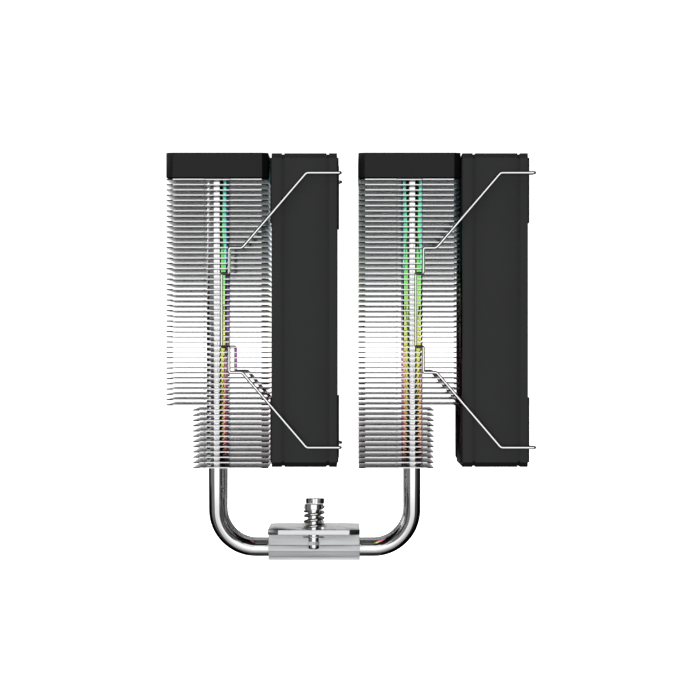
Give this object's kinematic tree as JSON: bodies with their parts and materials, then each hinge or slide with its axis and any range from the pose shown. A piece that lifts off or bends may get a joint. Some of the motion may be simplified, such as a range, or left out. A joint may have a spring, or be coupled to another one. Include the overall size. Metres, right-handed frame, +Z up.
{
  "type": "cpu tower cooler",
  "caption": "Dual-tower air cooler for a processor: finned stacks on U-shaped heat pipes over a cold plate, with wire-clipped fans and sprung mounting screws.",
  "frame": {"origin": "centre of the cold plate's contact face", "axes": "+Z up out of the processor, +X along the fans' axes from the left tower to the right tower, +Y across the towers, away from the front clips"},
  "size_m": [0.1415, 0.1234, 0.1572],
  "materials": {
    "base_plate": "nickel-plated copper, satin",
    "base_block": "milled, satin",
    "bar": "nickel plated",
    "pipes": "bright nickel plate",
    "screws": "bright nickel plate",
    "springs": "bright spring steel",
    "fins": "bright nickel plate",
    "covers": "fine satin grain",
    "fan_frames": "fine moulded grain",
    "fan_rotors": "frosted, translucent, lit from the hub",
    "shafts": "ground",
    "bearings": "sintered",
    "magnets": "bonded ferrite",
    "windings": "enamelled copper wire on steel laminations",
    "led_boards": "solder mask",
    "pads": "matte",
    "clips": "bright spring steel wire"
  },
  "bodies": {
    "root": {"cold_plate": "base_plate", "base_top_block": "base_block", "clamping_bar": "bar", "heat_pipe_1": "pipes", "heat_pipe_2": "pipes", "heat_pipe_3": "pipes", "heat_pipe_4": "pipes", "heat_pipe_5": "pipes", "heat_pipe_6": "pipes", "bar_screw_front": "screws", "screw_spring_front": "springs", "bar_screw_rear": "screws", "screw_spring_rear": "springs", "fin_stack_left": "fins", "top_cover_left": "covers", "fin_stack_right": "fins", "top_cover_right": "covers", "middle_fan_frame": "fan_frames", "middle_fan_bearing": "bearings", "middle_fan_stator": "windings", "middle_fan_led_board": "led_boards", "middle_fan_pad_inner_rear_top": "pads", "middle_fan_pad_inner_front_top": "pads", "middle_fan_pad_inner_front_bottom": "pads", "middle_fan_pad_inner_rear_bottom": "pads", "middle_fan_pad_outer_rear_top": "pads", "middle_fan_pad_outer_front_top": "pads", "middle_fan_pad_outer_front_bottom": "pads", "middle_fan_pad_outer_rear_bottom": "pads", "outer_fan_frame": "fan_frames", "outer_fan_bearing": "bearings", "outer_fan_stator": "windings", "outer_fan_led_board": "led_boards", "outer_fan_pad_inner_rear_top": "pads", "outer_fan_pad_inner_front_top": "pads", "outer_fan_pad_inner_front_bottom": "pads", "outer_fan_pad_inner_rear_bottom": "pads", "outer_fan_pad_outer_rear_top": "pads", "outer_fan_pad_outer_front_top": "pads", "outer_fan_pad_outer_front_bottom": "pads", "outer_fan_pad_outer_rear_bottom": "pads"},
    "middle_fan_spinner": {"middle_fan_rotor": "fan_rotors", "middle_fan_shaft": "shafts", "middle_fan_magnet_ring": "magnets"},
    "middle_fan_clip_front": {"middle_fan_clip_front": "clips"},
    "middle_fan_clip_rear": {"middle_fan_clip_rear": "clips"},
    "outer_fan_spinner": {"outer_fan_rotor": "fan_rotors", "outer_fan_shaft": "shafts", "outer_fan_magnet_ring": "magnets"},
    "outer_fan_clip_front": {"outer_fan_clip_front": "clips"},
    "outer_fan_clip_rear": {"outer_fan_clip_rear": "clips"},
    "spring_screw_front_travel": {"retaining_ring_front": "springs"},
    "spring_screw_front": {"spring_screw_front": "screws"},
    "spring_screw_rear_travel": {"retaining_ring_rear": "springs"},
    "spring_screw_rear": {"spring_screw_rear": "screws"}
  },
  "joints": [
    {"name": "middle_fan_spin", "type": "hinge", "parent": "root", "child": "middle_fan_spinner", "pos_m": [-0.0035, 0, 0.097], "axis": [1, 0, 0], "continuous": true},
    {"name": "middle_fan_clip_front_swing", "type": "hinge", "parent": "root", "child": "middle_fan_clip_front", "pos_m": [0.0095, -0.0525, 0.097], "axis": [0, 0, 1], "range_deg": [0, 20]},
    {"name": "middle_fan_clip_rear_swing", "type": "hinge", "parent": "root", "child": "middle_fan_clip_rear", "pos_m": [0.0095, 0.0525, 0.097], "axis": [0, 0, -1], "range_deg": [0, 20]},
    {"name": "outer_fan_spin", "type": "hinge", "parent": "root", "child": "outer_fan_spinner", "pos_m": [0.0695, 0, 0.097], "axis": [1, 0, 0], "continuous": true},
    {"name": "outer_fan_clip_front_swing", "type": "hinge", "parent": "root", "child": "outer_fan_clip_front", "pos_m": [0.0825, -0.0525, 0.097], "axis": [0, 0, 1], "range_deg": [0, 20]},
    {"name": "outer_fan_clip_rear_swing", "type": "hinge", "parent": "root", "child": "outer_fan_clip_rear", "pos_m": [0.0825, 0.0525, 0.097], "axis": [0, 0, -1], "range_deg": [0, 20]},
    {"name": "spring_screw_front_press", "type": "slide", "parent": "root", "child": "spring_screw_front_travel", "axis": [0, 0, -1], "range_m": [0, 0.004], "stiffness_N_per_m": 4000, "springref_m": -0.001, "deforming": ["screw_spring_front"]},
    {"name": "spring_screw_front_turn", "type": "hinge", "parent": "spring_screw_front_travel", "child": "spring_screw_front", "pos_m": [0, -0.0405, 0.0124], "axis": [0, 0, 1], "continuous": true},
    {"name": "spring_screw_rear_press", "type": "slide", "parent": "root", "child": "spring_screw_rear_travel", "axis": [0, 0, -1], "range_m": [0, 0.004], "stiffness_N_per_m": 4000, "springref_m": -0.001, "deforming": ["screw_spring_rear"]},
    {"name": "spring_screw_rear_turn", "type": "hinge", "parent": "spring_screw_rear_travel", "child": "spring_screw_rear", "pos_m": [0, 0.0405, 0.0124], "axis": [0, 0, 1], "continuous": true}
  ]
}
